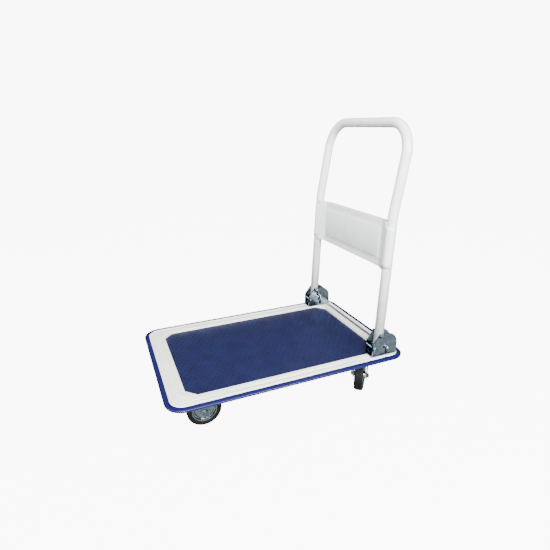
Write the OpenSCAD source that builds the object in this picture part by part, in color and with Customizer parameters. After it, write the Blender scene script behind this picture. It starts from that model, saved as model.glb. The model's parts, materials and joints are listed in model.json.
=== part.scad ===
// Folding platform cart: pressed deck with mat and bumper, fold-down handle, two fixed and two swivel casters.
// Millimetres. +X runs along the deck towards the handle, +Y to the right of a person pushing, +Z up.
// Origin on the floor under the middle of the deck.

/* [Deck] */
// Height of the seam between deck and bumper
seam_z = 143; // [120:1:200]
// Half length of the deck at the seam
deck_hx = 345.5; // [250:0.5:500]
// Half width of the deck at the seam
deck_hy = 225; // [150:0.5:350]
// Corner radius of the deck at the seam
deck_r = 36; // [10:1:80]
// Rise of the deck border above the seam
border_up = 3.5; // [0:0.5:10]
// Thickness of the deck sheet
sheet_t = 1.5; // [0.8:0.1:3]
// Half length of the mat
mat_hx = 299; // [200:1:450]
// Half width of the mat
mat_hy = 189; // [100:1:300]
// Cut across each mat corner
mat_cut = 27; // [0:1:60]
// Drop of the mat's top below the seam
mat_down = 4.5; // [0:0.5:10]
// Thickness of the mat
mat_t = 2; // [1:0.5:5]
// How far the bumper stands out from the seam
bumper_out = 14.2; // [8:0.1:25]
// Radius of the bumper's nose
bumper_nose = 4; // [3:0.5:10]

/* [Handle] */
// Outside radius of the handle tube
tube_r = 14; // [10:0.5:20]
// Wall of the handle tube
tube_wall = 1.5; // [1:0.1:3]
// Distance of each handle leg from the middle
leg_y = 202; // [120:1:300]
// Pivot position along the deck
pivot_x = 274; // [200:1:400]
// Pivot height above the seam
pivot_up = 68; // [50:1:120]
// Tube length below the pivot
tube_below = 31.5; // [20:0.5:60]
// Bend position along the deck
bend_x = 289.5; // [250:0.5:400]
// Bend height above the seam
bend_up = 421; // [300:1:600]
// Top bar position along the deck
bar_x = 330; // [280:1:420]
// Top bar height above the seam
bar_up = 665.5; // [500:0.5:900]
// Centreline radius of the two top corners
corner_r = 84; // [50:1:120]
// Centreline radius of the bend in each leg
bend_r = 150; // [60:1:300]
// Lower edge of the handle panel above the seam
panel_low = 266; // [150:1:400]
// Height of the handle panel
panel_h = 140; // [60:1:250]
// Thickness of the handle panel
panel_t = 1.2; // [0.8:0.1:3]

/* [Hinge brackets] */
// Front edge of the bracket along the deck
bracket_x = 243; // [180:1:340]
// Bracket length
bracket_l = 85; // [60:1:120]
// Bracket height above the deck border
bracket_h = 72.5; // [50:0.5:110]
// Bracket plate thickness
bracket_t = 3; // [2:0.5:5]
// Gap between the two cheeks of a bracket
bracket_gap = 30; // [24:1:44]
// Release rod behind the pivot
rod_dx = 16.5; // [10:0.5:40]
// Release rod height above the seam
rod_up = 32; // [15:1:60]
// Release rod radius
rod_r = 4; // [3:0.5:8]
// Downward travel of the release rod
rod_travel = 18; // [8:1:30]
// Stop pin in front of the pivot
pin_dx = 21.5; // [10:0.5:40]
// Stop pin height above the seam
pin_up = 29.5; // [10:0.5:60]

/* [Casters] */
// Wheel radius
wheel_r = 50; // [30:1:100]
// Tyre width
tyre_w = 26; // [15:1:50]
// Top of the caster plates above the floor
plate_z = 124; // [90:1:200]
// Front wheels: distance from the middle along the deck
front_x = 245; // [150:1:400]
// Front wheels: distance from the middle across the deck
front_y = 119; // [80:1:250]
// Rear swivels: distance from the middle along the deck
rear_x = 275.5; // [150:0.5:400]
// Rear swivels: distance from the middle across the deck
rear_y = 127; // [80:1:250]
// Trail of the swivel wheels
trail = 32; // [15:1:60]
// Direction in which the rear wheels trail at rest
rear_yaw = 227.6; // [0:0.1:360]

/* [Hidden] */
$fn = 64;
leg_a = atan((bend_x - pivot_x) / (bend_up - pivot_up));
top_a = atan((bar_x - bend_x) / (bar_up - bend_up));
leg_l = sqrt(pow(bend_x - pivot_x, 2) + pow(bend_up - pivot_up, 2));
top_l = sqrt(pow(bar_x - bend_x, 2) + pow(bar_up - bend_up, 2));
bend_a = top_a - leg_a;
bend_cut = bend_r * tan(bend_a / 2);
border_z = seam_z + border_up;
mat_z = seam_z - mat_down - mat_t;
field_z = mat_z - sheet_t;
pivot_z = seam_z + pivot_up;
rod_x = pivot_x + rod_dx;
rod_z = seam_z + rod_up;
cheek_out = bracket_gap / 2 + bracket_t;

// ---- shared shapes ----

// Rounded rectangle of half sizes hx, hy and corner radius r
module round_rect(hx, hy, r) {
  square([2 * hx, 2 * (hy - r)], center = true);
  square([2 * (hx - r), 2 * hy], center = true);
  for (sx = [-1, 1], sy = [-1, 1])
    translate([sx * (hx - r), sy * (hy - r)]) circle(r);
}

// Rectangle of half sizes hx, hy with its corners cut by c
module cut_rect(hx, hy, c) {
  polygon([[hx, hy - c], [hx - c, hy], [c - hx, hy], [-hx, hy - c],
    [-hx, c - hy], [c - hx, -hy], [hx - c, -hy], [hx, c - hy]]);
}

// Sweeps its section (outward, up) round the deck's seam line
module round_seam() {
  for (s = [0, 1]) rotate([0, 0, 180 * s]) {
    translate([deck_hx - deck_r, deck_hy - deck_r, 0])
      rotate_extrude(angle = 90) translate([deck_r, 0]) children();
    translate([deck_r - deck_hx, deck_hy - deck_r, 0])
      rotate([0, 0, 90]) rotate_extrude(angle = 90) translate([deck_r, 0]) children();
    translate([deck_hx, deck_hy - deck_r, 0])
      rotate([90, 0, 0]) linear_extrude(2 * (deck_hy - deck_r)) children();
    translate([deck_r - deck_hx, deck_hy, 0])
      rotate([90, 0, 90]) linear_extrude(2 * (deck_hx - deck_r)) children();
  }
}

// Hexagonal prism across flats af, height h, along +Z
module hex(af, h) {
  cylinder(r = af / sqrt(3), h = h, $fn = 6);
}

// Cylinder along Y from y0 to y1
module along_y(r, y0, y1) {
  translate([0, y1, 0]) rotate([90, 0, 0]) cylinder(r = r, h = y1 - y0);
}

// Hexagon along Y from y0 to y1
module hex_y(af, y0, y1) {
  translate([0, y1, 0]) rotate([90, 0, 0]) hex(af, y1 - y0);
}

// ---- deck ----

module rim_section() {
  intersection() {
    difference() {
      translate([-6, -border_up - 1]) circle(8);
      translate([-6, -border_up - 1]) circle(8 - sheet_t);
    }
    translate([-6, -border_up - 1]) square([10, 10]);
  }
  translate([2 - sheet_t, -7]) square([sheet_t, 6 - border_up + 0.05]);
}

module deck_pan() {
  color("#e9e9e4") {
    difference() {
      translate([0, 0, border_z - sheet_t])
        linear_extrude(sheet_t) round_rect(deck_hx - 5.95, deck_hy - 5.95, deck_r - 5.95);
      translate([0, 0, field_z]) linear_extrude(20) cut_rect(mat_hx + 1, mat_hy + 1, mat_cut);
      bracket_holes();
    }
    difference() {
      translate([0, 0, field_z])
        linear_extrude(border_z - field_z) cut_rect(mat_hx + 2, mat_hy + 2, mat_cut);
      translate([0, 0, mat_z]) linear_extrude(30) cut_rect(mat_hx + 0.5, mat_hy + 0.5, mat_cut);
    }
    translate([0, 0, seam_z]) round_seam() rim_section();
  }
}

module mat() {
  color("#26376f")
    translate([0, 0, mat_z]) linear_extrude(mat_t) cut_rect(mat_hx, mat_hy, mat_cut);
}

module bumper_section() {
  difference() {
    union() {
      translate([bumper_out - bumper_nose, 0.4 - bumper_nose]) circle(bumper_nose);
      polygon([[0, 0.6], [0, 1.2], [4, 1.1], [bumper_out - bumper_nose, 0.4],
        [bumper_out - bumper_nose, 0.4 - 2 * bumper_nose], [5, -8.6], [-1.5, -8.6], [-1.5, -7], [2.1, -7]]);
    }
    translate([-6, -border_up - 1]) circle(8.05);
    translate([-1, -7]) square([3.05, 4]);
  }
}

module bumper() {
  color("#2a49b4") translate([0, 0, seam_z]) round_seam() bumper_section();
}

// Hat-section stiffener that carries one front and one rear caster
module channel(s) {
  t = 1.5;
  yc = s * (front_y + rear_y) / 2;
  color("#e9e9e4") translate([0, yc, 0]) {
    difference() {
      translate([-330, -42, plate_z]) cube([660, 84, t]);
      translate([-front_x, s * front_y - yc, 0]) plate_holes();
      translate([rear_x, s * rear_y - yc, 0]) plate_holes();
    }
    for (k = [-1, 1]) {
      translate([-330, k > 0 ? 42 - t : -42, plate_z]) cube([660, t, field_z - plate_z]);
      translate([-330, k > 0 ? 42 - t : -52, field_z - t]) cube([660, 10 + t, t]);
    }
  }
}

// ---- hinge brackets ----

module cheek_outline() {
  h = bracket_h;
  l = bracket_l;
  polygon([[0, 0], [l, 0], [l, h - 36], [l - 36, h - 36], [l - 36, h], [23, h], [0, h - 30]]);
  translate([l - 36, h - 36]) circle(36);
}

module cheek() {
  rotate([90, 0, 0]) linear_extrude(bracket_t) difference() {
    cheek_outline();
    translate([pivot_x - bracket_x, pivot_z - border_z]) circle(5);
    translate([pivot_x - pin_dx - bracket_x, seam_z + pin_up - border_z]) circle(4);
    for (d = [0, rod_travel + 2])
      translate([rod_x - bracket_x, rod_z - border_z - d]) circle(rod_r + 0.3);
    translate([rod_x - bracket_x - rod_r - 0.3, rod_z - border_z - rod_travel - 2])
      square([2 * rod_r + 0.6, rod_travel + 2]);
  }
}

module bracket(s) {
  g = bracket_gap / 2;
  color("#a9b7bd") {
    translate([bracket_x, s * leg_y + g + bracket_t, border_z]) cheek();
    translate([bracket_x, s * leg_y - g, border_z]) cheek();
    difference() {
      translate([bracket_x, s * leg_y - g, border_z]) cube([bracket_l, 2 * g, bracket_t]);
      bracket_holes();
    }
  }
}

// Holes for the bracket bolts, through a bracket's base and the deck border under it
module bracket_holes() {
  for (s = [-1, 1], x = [20, 64])
    translate([bracket_x + x, s * leg_y, border_z - 5]) cylinder(r = 3, h = 10);
}

module bracket_bolts() {
  color("#b4bdc1")
    for (s = [-1, 1], x = [20, 64]) translate([bracket_x + x, s * leg_y, 0]) {
      translate([0, 0, border_z - sheet_t - 8]) cylinder(r = 3, h = 8 + sheet_t + bracket_t);
      translate([0, 0, border_z + bracket_t]) hex(10, 4);
      translate([0, 0, border_z - sheet_t - 5]) hex(10, 5);
    }
}

module stop_pins() {
  color("#b4bdc1")
    for (s = [-1, 1]) translate([pivot_x - pin_dx, s * leg_y, seam_z + pin_up]) {
      along_y(4, -cheek_out - 5, cheek_out + 5);
      hex_y(12, s > 0 ? cheek_out : -cheek_out - 5, s > 0 ? cheek_out + 5 : -cheek_out);
      along_y(6, s > 0 ? -cheek_out - 3 : cheek_out, s > 0 ? -cheek_out : cheek_out + 3);
    }
}

module pivot_bolts() {
  color("#b4bdc1")
    for (s = [-1, 1]) translate([pivot_x, s * leg_y, pivot_z]) {
      along_y(5, s > 0 ? -cheek_out - 13 : -cheek_out, s > 0 ? cheek_out : cheek_out + 13);
      hex_y(15, s > 0 ? cheek_out : -cheek_out - 6, s > 0 ? cheek_out + 6 : -cheek_out);
    }
}

module pivot_nuts() {
  color("#b4bdc1")
    for (s = [-1, 1]) translate([pivot_x, s * leg_y, pivot_z])
      difference() {
        hex_y(15, s > 0 ? -cheek_out - 7 : cheek_out, s > 0 ? -cheek_out : cheek_out + 7);
        along_y(5, -40, 40);
      }
}

// Extension spring from the pivot bolt's end down to the release rod
module spring(s) {
  dx = rod_x - pivot_x;
  dz = rod_z - pivot_z;
  d = sqrt(dx * dx + dz * dz);
  color("#aab2b6") translate([pivot_x, s * (leg_y - cheek_out - 10), pivot_z]) {
    rotate([0, atan2(dx, dz), 0]) {
      translate([0, 0, 10]) difference() {
        cylinder(r = 4.2, h = d - 19);
        translate([0, 0, -1]) cylinder(r = 2.8, h = d - 17);
      }
      translate([0, 0, 6.2]) cylinder(r = 0.8, h = 4.3);
      translate([0, 0, 9.7]) rotate([0, 90, 0]) cylinder(r = 0.8, h = 8, center = true);
      translate([0, 0, d - 9.8]) cylinder(r = 0.8, h = 4.6);
      translate([0, 0, d - 9.4]) rotate([0, 90, 0]) cylinder(r = 0.8, h = 8, center = true);
      rotate([90, 0, 0]) rotate_extrude() translate([5.75, 0]) circle(0.8);
      translate([0, 0, d]) rotate([90, 0, 0]) rotate_extrude() translate([5.2, 0]) circle(0.8);
    }
  }
}

// ---- handle ----

// Section of the tube; the bends are a hair thicker (e) so that each straight runs cleanly into them
module tube_section(e) {
  difference() {
    circle(tube_r + e);
    circle(tube_r - tube_wall - e);
  }
}

// One leg of the handle with its two bends; each straight runs lap into the bend it meets
module leg() {
  lap = 1;
  e = 0.1;
  translate([pivot_x, leg_y, pivot_z]) rotate([0, leg_a, 0]) difference() {
    translate([0, 0, -tube_below]) linear_extrude(tube_below + leg_l - bend_cut + lap) tube_section(0);
    along_y(5.08, -30, 30);
  }
  translate([bend_x, leg_y, seam_z + bend_up]) {
    rotate([0, leg_a, 0]) translate([bend_r, 0, -bend_cut]) rotate([90, 0, 0])
      rotate([0, 0, 180 - bend_a]) rotate_extrude(angle = bend_a) translate([bend_r, 0]) tube_section(e);
    rotate([0, top_a, 0]) translate([0, 0, bend_cut - lap])
      linear_extrude(top_l - bend_cut - corner_r + 2 * lap) tube_section(0);
  }
  translate([bend_x, 0, seam_z + bend_up]) rotate([0, top_a, 0])
    translate([0, leg_y - corner_r, top_l - corner_r]) rotate([90, 0, 90])
      rotate_extrude(angle = 90) translate([corner_r, 0]) tube_section(e);
}

module handle_tube() {
  bar = leg_y - corner_r + 1;
  color("#eceeee") {
    leg();
    mirror([0, 1, 0]) leg();
    translate([bend_x, 0, seam_z + bend_up]) rotate([0, top_a, 0]) translate([0, -bar, top_l])
      rotate([-90, 0, 0]) linear_extrude(2 * bar) tube_section(0);
  }
}

// End of the panel: a ramp that runs forward to a wrap round the front of the tube
module panel_wrap_outline() {
  o = tube_r + 0.05 + panel_t;
  difference() {
    translate([0, leg_y]) circle(o);
    translate([0, leg_y]) circle(tube_r + 0.05);
    polygon([[0, leg_y + 20], [20, leg_y + 20], [20, leg_y - 20], [-6.1, leg_y - 20],
      [-6.1, leg_y - 13], [-13.4, leg_y - 6.15], [0, leg_y]]);
  }
  polygon([[3.4, 158], [4.6, 158], [-12.65, leg_y - 6.35], [-13.84, leg_y - 6.3]]);
}

module handle_panel() {
  t = panel_t;
  color("#e6e8e8") translate([pivot_x, 0, pivot_z]) rotate([0, leg_a, 0])
    translate([0, 0, panel_low - pivot_up]) {
      difference() {
        linear_extrude(panel_h) {
          panel_wrap_outline();
          mirror([0, 1]) panel_wrap_outline();
        }
        for (s = [-1, 1]) for (z = [-10, panel_h - 10])
          translate([-20, s * (leg_y + 2) - 20, z]) cube([40, 40, 20]);
      }
      translate([3.4, -158.05, 0]) cube([t, 316.1, panel_h]);
      for (z = [0, panel_h - t]) translate([3.4, -156, z]) cube([11, 312, t]);
    }
}

// ---- release bar ----

module release_rod() {
  color("#b9c3c7") translate([rod_x, 0, rod_z]) along_y(rod_r, -leg_y - cheek_out - 9, leg_y + cheek_out + 9);
}

module release_nuts() {
  c = cheek_out + 0.5;
  color("#b4bdc1")
    for (s = [-1, 1]) translate([rod_x, s * leg_y, rod_z]) difference() {
      union() {
        along_y(8, c, c + 1.2);
        along_y(8, -c - 1.2, -c);
        hex_y(13, c + 1.2, c + 6.2);
        hex_y(13, -c - 6.2, -c - 1.2);
      }
      along_y(rod_r, -40, 40);
    }
}

// ---- casters ----

module plate_holes() {
  for (x = [-36, 36], y = [-24, 24]) translate([x, y, plate_z - 10]) cylinder(r = 4, h = 20);
}

// Leg of a fork: wide at the top between xa and xb, round at the axle (x = a)
module leg_outline(xa, xb, zt, a) {
  polygon([[xa, zt], [a - 12.5, 50], [a + 12.5, 50], [xb, zt]]);
  translate([a, 50]) circle(13);
}

module fork_legs(xa, xb, zt, a) {
  for (y = [22, -19.5]) translate([0, y, 0]) rotate([90, 0, 0]) linear_extrude(2.5) difference() {
    leg_outline(xa, xb, zt, a);
    translate([a, 50]) circle(4);
  }
}

module front_fork(s) {
  color("#a9b7bd") translate([-front_x, s * front_y, 0]) {
    difference() {
      translate([-48, -33, plate_z - 2.5]) cube([96, 66, 2.5]);
      plate_holes();
    }
    fork_legs(-26, 26, plate_z - 2.5, 0);
  }
}

module axle() {
  translate([0, 0, 50]) {
    along_y(4, -30, 28);
    along_y(6, -19.5, 19.5);
    hex_y(13, -28.5, -22);
    hex_y(13, 22, 27.5);
  }
}

module bush() {
  translate([0, 0, 50]) difference() {
    along_y(9, -18, 18);
    along_y(6.06, -20, 20);
  }
}

module rim() {
  translate([0, 0, 50]) rotate([90, 0, 0]) rotate_extrude()
    polygon([[9, -17], [11.5, -17], [12.5, -11], [28, -9.5], [29.5, -6], [32, -6], [33, -11.5], [37, -11.5],
      [37, 11.5], [33, 11.5], [32, 6], [29.5, 6], [28, 9.5], [12.5, 11], [11.5, 17], [9, 17]]);
}

module tyre() {
  w = tyre_w / 2;
  translate([0, 0, wheel_r]) rotate([90, 0, 0]) rotate_extrude() {
    translate([37, -w]) square([wheel_r - 37 - 4, 2 * w]);
    translate([37, 4 - w]) square([wheel_r - 37, 2 * w - 8]);
    for (k = [-1, 1]) translate([wheel_r - 4, k * (w - 4)]) circle(4);
  }
}

// Places a front wheel piece
module at_front(s) {
  translate([-front_x, s * front_y, 0]) scale([1, s, 1]) children();
}

// Places a rear swivel piece at its kingpin
module at_rear(s) {
  translate([rear_x, s * rear_y, 0]) rotate([0, 0, rear_yaw]) children();
}

// Places a rear wheel piece at its axle
module at_rear_wheel(s) {
  at_rear(s) translate([trail, 0, 0]) children();
}

module swivel_plate(s) {
  color("#a9b7bd") translate([rear_x, s * rear_y, 0]) difference() {
    union() {
      translate([-48, -33, plate_z - 2.5]) cube([96, 66, 2.5]);
      translate([0, 0, plate_z - 8]) cylinder(r = 25, h = 6);
    }
    translate([0, 0, plate_z - 9]) cylinder(r = 19, h = 6.5);
    cylinder(r = 6, h = 200);
    plate_holes();
  }
}

module kingpin(s) {
  color("#b4bdc1") translate([rear_x, s * rear_y, 0]) {
    translate([0, 0, 102]) cylinder(r = 6, h = plate_z - 102);
    translate([0, 0, plate_z - 8.5]) cylinder(r = 9, h = 6);
    translate([0, 0, 99]) hex(16, 7);
  }
}

module race(s) {
  color("#9fabb0") at_rear(s) difference() {
    translate([0, 0, 109.5]) cylinder(r = 28, h = 6);
    translate([0, 0, 109]) cylinder(r = 19, h = 8);
  }
}

module rear_fork(s) {
  color("#a9b7bd") at_rear(s) {
    difference() {
      union() {
        translate([0, 0, 106.5]) cylinder(r = 28, h = 3);
        translate([0, -22, 106.5]) cube([30, 44, 3]);
      }
      cylinder(r = 6.06, h = 200);
    }
    fork_legs(-14, 30, 109.5, trail);
  }
}

module caster_bolts() {
  color("#b4bdc1")
    for (s = [-1, 1], p = [[-front_x, front_y], [rear_x, rear_y]], x = [-36, 36], y = [-24, 24])
      translate([p[0] + x, s * p[1] + y, plate_z]) {
        translate([0, 0, -2.5]) cylinder(r = 4, h = 10);
        translate([0, 0, -7.5]) hex(13, 5);
        translate([0, 0, 1.5]) hex(13, 5);
      }
}

deck_pan();
mat();
bumper();
channel(-1);  // channel_left
channel(1);  // channel_right
bracket(-1);  // bracket_left
bracket(1);  // bracket_right
bracket_bolts();
stop_pins();
pivot_bolts();
pivot_nuts();
spring(-1);  // spring_left
spring(1);  // spring_right
handle_tube();
handle_panel();
release_rod();
release_nuts();
caster_bolts();
front_fork(-1);  // front_left_fork
color("#b4bdc1") at_front(-1) axle();  // front_left_axle
color("#d8d8d2") at_front(-1) bush();  // front_left_bush
color("#b6c0c3") at_front(-1) rim();  // front_left_rim
color("#2b2b2c") at_front(-1) tyre();  // front_left_tyre
front_fork(1);  // front_right_fork
color("#b4bdc1") at_front(1) axle();  // front_right_axle
color("#d8d8d2") at_front(1) bush();  // front_right_bush
color("#b6c0c3") at_front(1) rim();  // front_right_rim
color("#2b2b2c") at_front(1) tyre();  // front_right_tyre
swivel_plate(-1);  // rear_left_plate
kingpin(-1);  // rear_left_kingpin
race(-1);  // rear_left_race
rear_fork(-1);  // rear_left_fork
color("#b4bdc1") at_rear_wheel(-1) axle();  // rear_left_axle
color("#d8d8d2") at_rear_wheel(-1) bush();  // rear_left_bush
color("#b6c0c3") at_rear_wheel(-1) rim();  // rear_left_rim
color("#2b2b2c") at_rear_wheel(-1) tyre();  // rear_left_tyre
swivel_plate(1);  // rear_right_plate
kingpin(1);  // rear_right_kingpin
race(1);  // rear_right_race
rear_fork(1);  // rear_right_fork
color("#b4bdc1") at_rear_wheel(1) axle();  // rear_right_axle
color("#d8d8d2") at_rear_wheel(1) bush();  // rear_right_bush
color("#b6c0c3") at_rear_wheel(1) rim();  // rear_right_rim
color("#2b2b2c") at_rear_wheel(1) tyre();  // rear_right_tyre
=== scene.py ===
"""Looks of the folding platform cart: every visible piece, its finish, the studio and the camera."""

import json
import math

import bmesh
import bpy
from mathutils import Matrix, Vector


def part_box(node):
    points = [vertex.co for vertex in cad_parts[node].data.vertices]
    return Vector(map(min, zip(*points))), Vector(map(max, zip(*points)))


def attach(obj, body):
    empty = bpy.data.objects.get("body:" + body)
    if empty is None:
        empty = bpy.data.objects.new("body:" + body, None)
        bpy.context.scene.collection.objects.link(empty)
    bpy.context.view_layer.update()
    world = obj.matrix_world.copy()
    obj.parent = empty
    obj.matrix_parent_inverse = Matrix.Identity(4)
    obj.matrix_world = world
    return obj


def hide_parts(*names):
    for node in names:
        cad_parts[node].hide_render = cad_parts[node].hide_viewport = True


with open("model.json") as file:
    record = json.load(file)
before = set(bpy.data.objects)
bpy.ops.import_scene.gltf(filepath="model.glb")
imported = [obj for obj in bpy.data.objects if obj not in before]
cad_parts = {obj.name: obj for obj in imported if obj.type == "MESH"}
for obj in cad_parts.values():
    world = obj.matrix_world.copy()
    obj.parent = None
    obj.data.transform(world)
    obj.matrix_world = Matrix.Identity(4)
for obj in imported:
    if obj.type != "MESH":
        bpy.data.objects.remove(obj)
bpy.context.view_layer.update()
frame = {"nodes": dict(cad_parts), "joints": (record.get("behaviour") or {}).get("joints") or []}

# ---- sizes, in millimetres, read from the frame where it has them ----

MM = 0.001
SIDES = {"left": -1, "right": 1}


def box_mm(node):
    """Lowest and highest corner of a CAD node, in millimetres."""
    low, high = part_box(node)
    return low / MM, high / MM


deck_low, deck_high = box_mm("deck_pan")
mat_low, mat_high = box_mm("mat")
bumper_low, bumper_high = box_mm("bumper")
bracket_low, bracket_high = box_mm("bracket_left")
rod_low, rod_high = box_mm("release_rod")
bar_high = box_mm("handle_tube")[1]
pins_low, pins_high = box_mm("stop_pins")
plate_low, plate_high = box_mm("rear_left_plate")
tyre_low, tyre_high = box_mm("front_left_tyre")
joint_at = {j["name"]: Vector(j["pos_m"]) / MM for j in frame["joints"] if "pos_m" in j}
joint_axis = {j["name"]: Vector(j["axis"]) for j in frame["joints"]}

SHEET = 1.5                                  # deck sheet
BEAD = 8.0                                   # radius of the deck's rolled edge
border_z = deck_high.z
seam_x, seam_y = deck_high.x - 2, deck_high.y - 2
SEAM_R = 36.0                                # corner radius of the deck at the bumper
MAT_CUT = 27.0                               # cut of the mat's corners
TUBE_R, TUBE_WALL = 14.0, 1.5
LEG_Y = 202.0                                # handle legs and brackets, from the middle
BEND = Vector((289.5, 564.0))                # where the legs lean back, as (x, z)
BEND_R, CORNER_R = 150.0, 84.0
BELOW = 31.5                                 # tube below the pivot
LEG_T, LEG_IN, LEG_OUT = 2.5, 19.5, 22.0     # a fork leg's sheet, and its two faces from the wheel's middle
BORE_R, AXLE_R, BOLT_R = 6.5, 6.0, 4.0       # bores, axle sleeves and the bolts through them
PAD_H = 0.3                                  # raised pad on a bolt head
PIN_BACK = 21.5                              # stop pins, behind the pivot
INSET = 0.1                                  # keeps the bent tube just inside the CAD's box
SPOTS = ("front_left_spin", "front_right_spin", "rear_left_turn", "rear_right_turn")
BOLT_DX, BOLT_DY = 36.0, 24.0                # caster bolts, from the middle of their plate
PANEL_FOOT, PANEL_H, PANEL_T = 198.0, 140.0, 1.2
GAP, CHEEK = 15.0, 3.0                       # half gap and plate of a bracket
cheek_out = GAP + CHEEK
pivot = Vector((joint_at["handle_fold"].x, joint_at["handle_fold"].z))
bar = Vector((bar_high.x - TUBE_R - INSET, bar_high.z - TUBE_R - INSET))
rod = Vector(((rod_low.x + rod_high.x) / 2, (rod_low.z + rod_high.z) / 2))
pin = Vector((pivot.x - PIN_BACK, (pins_low.z + pins_high.z) / 2))
trail = (joint_at["rear_left_spin"] - joint_at["rear_left_turn"]).to_2d().length
lean_low = math.atan2(BEND.x - pivot.x, BEND.y - pivot.y)
lean_top = math.atan2(bar.x - BEND.x, bar.y - BEND.y)


# ---- mesh tools: everything is drawn in millimetres in its final place ----

def turned_to(direction):
    """Rotation that takes +Z to a direction."""
    return Vector(direction).to_track_quat("Z", "Y").to_matrix().to_4x4()


def at(x, y, z, direction=(0, 0, 1)):
    """Places a shape drawn about +Z at a point, pointing along a direction."""
    return Matrix.Translation((x, y, z)) @ turned_to(direction)


def only(kind, geometry):
    return [g for g in geometry if isinstance(g, kind)]


def edges_between(edges, verts):
    wanted = set(verts)
    return [e for e in edges if e.verts[0] in wanted and e.verts[1] in wanted]


def run(bm, edges, along):
    """Extrudes edges straight and returns the edges at the far end."""
    made = bmesh.ops.extrude_edge_only(bm, edges=edges)["geom"]
    verts = only(bmesh.types.BMVert, made)
    bmesh.ops.translate(bm, verts=verts, vec=along)
    return edges_between(only(bmesh.types.BMEdge, made), verts)


def turn(bm, edges, centre, axis, angle, steps, rise=(0, 0, 0)):
    """Spins edges about an axis, rising a little at each step, and returns the edges at the far end."""
    verts = list({v for e in edges for v in e.verts})
    made = bmesh.ops.spin(bm, geom=verts + edges, cent=centre, axis=axis, dvec=rise, angle=angle,
                          steps=steps, use_merge=False)
    return only(bmesh.types.BMEdge, made["geom_last"])


def loop_of(bm, points, closed=True):
    """Draws a chain of edges through points."""
    verts = [bm.verts.new(p) for p in points]
    first = 0 if closed else 1
    return [bm.edges.new((verts[i - 1], verts[i])) for i in range(first, len(verts))], verts


def skin(bm, rings, closed=True):
    """Extrudes the first ring of points through the places of the others."""
    edges, verts = loop_of(bm, rings[0], closed)
    for ring in rings[1:]:
        made = bmesh.ops.extrude_edge_only(bm, edges=edges)["geom"]
        fresh = set(only(bmesh.types.BMVert, made))
        edges = edges_between(only(bmesh.types.BMEdge, made), fresh)
        verts = [next(e.other_vert(v) for e in v.link_edges if e.other_vert(v) in fresh) for v in verts]
        for v, place in zip(verts, ring):
            v.co = place
    return edges


def fillet(corners, steps=6):
    """Outline through corners (x, y, radius), each one rounded by its own radius."""
    points = []
    for i, (x, y, radius) in enumerate(corners):
        p = Vector((x, y))
        u = (Vector(corners[i - 1][:2]) - p).normalized()
        v = (Vector(corners[(i + 1) % len(corners)][:2]) - p).normalized()
        if radius <= 0:
            points.append(p)
            continue
        half = u.angle(v) / 2
        centre = p + (u + v).normalized() * radius / math.sin(half)
        start = p + u * radius / math.tan(half) - centre
        sweep = math.pi - 2 * half
        if u.cross(v) > 0:
            sweep = -sweep
        points += [centre + Matrix.Rotation(sweep * k / steps, 2) @ start for k in range(steps + 1)]
    return points


def circle_points(x, y, radius, steps=24):
    return [Vector((x + radius * math.cos(a), y + radius * math.sin(a)))
            for a in (2 * math.pi * k / steps for k in range(steps))]


def plate(bm, outline, thickness, place, holes=()):
    """A flat plate drawn in XY with its thickness along +Z, then put in place."""
    edges = []
    for points in [outline, *holes]:
        edges += loop_of(bm, [(p.x, p.y, 0) for p in points])[0]
    flat = only(bmesh.types.BMFace, bmesh.ops.triangle_fill(bm, use_beauty=True, edges=edges)["geom"])
    made = bmesh.ops.extrude_face_region(bm, geom=flat, use_keep_orig=True)["geom"]
    top = only(bmesh.types.BMVert, made)
    bmesh.ops.translate(bm, verts=top, vec=(0, 0, thickness))
    verts = list({v for f in flat for v in f.verts} | set(top))
    bmesh.ops.transform(bm, matrix=place, verts=verts)
    return verts


def turned(bm, profile, place, steps=40, closed=True):
    """Turns a profile of (radius, height) about +Z, as on a lathe, then puts it in place."""
    edges, verts = loop_of(bm, [(r, 0, h) for r, h in profile], closed)
    before = set(bm.verts) - set(verts)
    bmesh.ops.spin(bm, geom=verts + edges, cent=(0, 0, 0), axis=(0, 0, 1), dvec=(0, 0, 0),
                   angle=2 * math.pi, steps=steps, use_merge=True)
    made = [v for v in bm.verts if v not in before]
    bmesh.ops.transform(bm, matrix=place, verts=made)
    bmesh.ops.remove_doubles(bm, verts=made, dist=0.001)


def shaft(bm, radius, length, place, chamfer=0.6, steps=32):
    """A turned bar with chamfered ends, from its foot along +Z."""
    turned(bm, [(0, 0), (radius - chamfer, 0), (radius, chamfer), (radius, length - chamfer),
                (radius - chamfer, length), (0, length)], place, steps, closed=False)


def screw(bm, radius, length, place, pitch=1.25):
    """A threaded bar: crests and roots turned at the thread's pitch."""
    profile = [(0, 0), (radius - 0.7, 0)]
    for k in range(int(length / pitch)):
        profile += [(radius, (k + 0.35) * pitch), (radius - 0.6, (k + 0.85) * pitch)]
    turned(bm, [*profile, (radius - 0.9, length), (0, length)], place, 24, closed=False)


def hexagon(bm, flats, height, place, pad=0.0):
    """A nut or a bolt head, chamfered at its outer face; a head has a raised round pad of radius pad."""
    made = bmesh.ops.create_cone(bm, cap_ends=True, segments=6, radius1=flats / math.sqrt(3),
                                 radius2=flats / math.sqrt(3), depth=height)["verts"]
    bmesh.ops.translate(bm, verts=made, vec=(0, 0, height / 2))
    around = {e for v in made for e in v.link_edges}
    rim = [e for e in around if all(v.co.z > height - 0.01 for v in e.verts)]
    cut = bmesh.ops.bevel(bm, geom=rim, offset=height * 0.16, affect="EDGES", segments=2, profile=0.5,
                          material=-1, clamp_overlap=True)
    made = list({v for v in made if v.is_valid} | set(cut["verts"]))
    bmesh.ops.transform(bm, matrix=place, verts=made)
    if pad:
        profile = [(0, height), (pad, height), (pad, height + PAD_H), (0, height + PAD_H)]
        turned(bm, profile, place, 24, False)


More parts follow.
